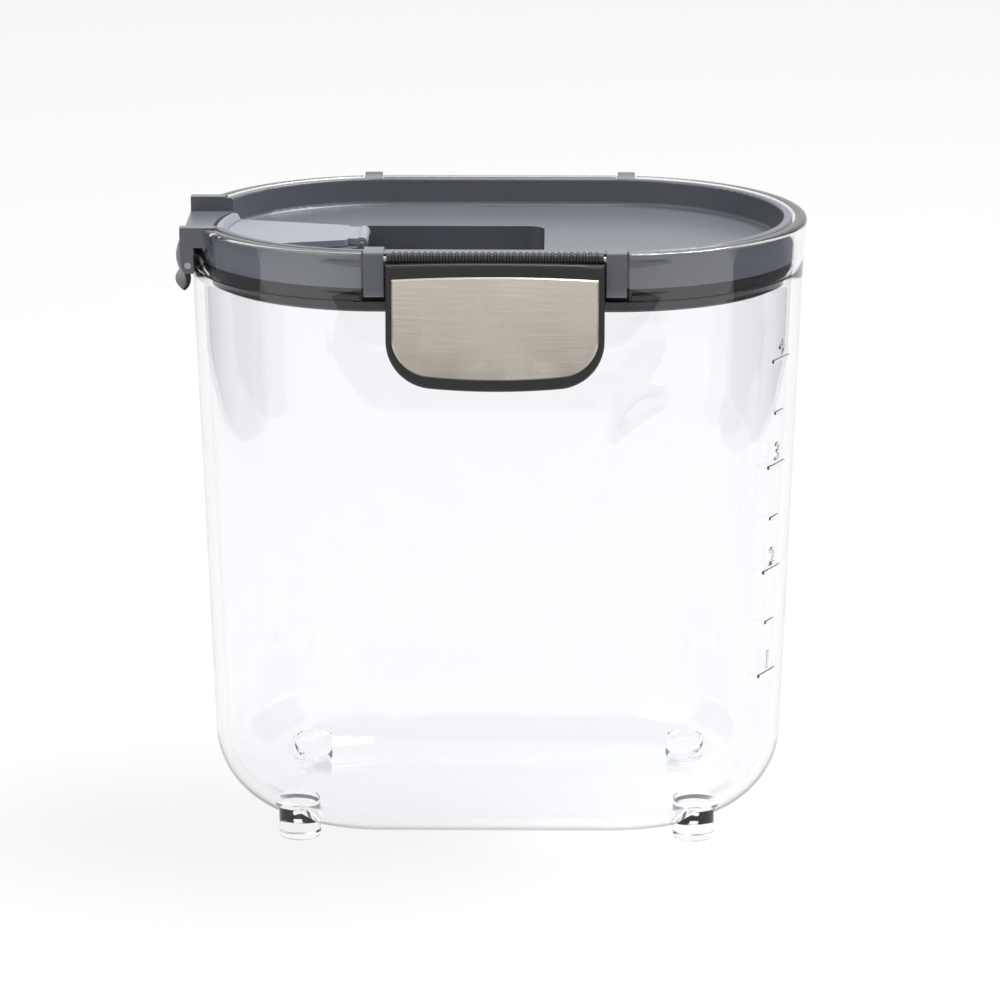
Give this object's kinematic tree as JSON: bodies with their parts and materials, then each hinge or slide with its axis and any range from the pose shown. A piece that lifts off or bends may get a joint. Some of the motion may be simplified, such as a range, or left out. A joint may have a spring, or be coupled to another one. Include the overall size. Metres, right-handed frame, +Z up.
{
  "type": "sugar canister",
  "caption": "Clear oval kitchen canister with a nested grey pour lid: a hinged spout door, a front latch with a metal plate, and a clip at the pouring end.",
  "frame": {"origin": "on the ground below the middle of the whole outline; the middle of the oval is at X 1.7 mm, Y 1.175 mm", "axes": "+Z up, the front latch faces -Y, the pouring end is at -X"},
  "size_m": [0.1553, 0.1052, 0.1534],
  "materials": {
    "clear_body": "clear polished copolyester",
    "lid_grey": "satin moulded ABS",
    "door_grey": "satin moulded ABS, lighter grey",
    "latch_black": "satin moulded ABS",
    "black_silicone": "soft silicone",
    "brushed_plate": "brushed along its length, bevelled bright edge",
    "steel_pin": "drawn wire"
  },
  "bodies": {
    "base": {"container": "clear_body", "lid_hinge_pin": "steel_pin"},
    "lid": {"lid_shell": "lid_grey", "lid_gasket": "black_silicone", "front_latch_pin": "steel_pin", "spout_door_pin": "steel_pin", "spout_latch_pins": "steel_pin"},
    "latch": {"front_latch": "latch_black", "latch_plate": "brushed_plate"},
    "door": {"spout_door": "door_grey", "spout_seal": "black_silicone"},
    "clip": {"spout_latch": "latch_black"}
  },
  "joints": [
    {"name": "lid_hinge", "type": "hinge", "parent": "base", "child": "lid", "pos_m": [0.0017, 0.05047, 0.1507], "axis": [-1, 0, 0], "range_deg": [0, 110]},
    {"name": "front_latch_hinge", "type": "hinge", "parent": "lid", "child": "latch", "pos_m": [0.0017, -0.04843, 0.1515], "axis": [-1, 0, 0], "range_deg": [0, 100]},
    {"name": "spout_door_hinge", "type": "hinge", "parent": "lid", "child": "door", "pos_m": [-0.0315, 0.00118, 0.1462], "axis": [0, 1, 0], "range_deg": [0, 175]},
    {"name": "spout_latch_hinge", "type": "hinge", "parent": "lid", "child": "clip", "pos_m": [-0.07321, 0.00118, 0.1434], "axis": [0, 1, 0], "range_deg": [0, 25]}
  ]
}
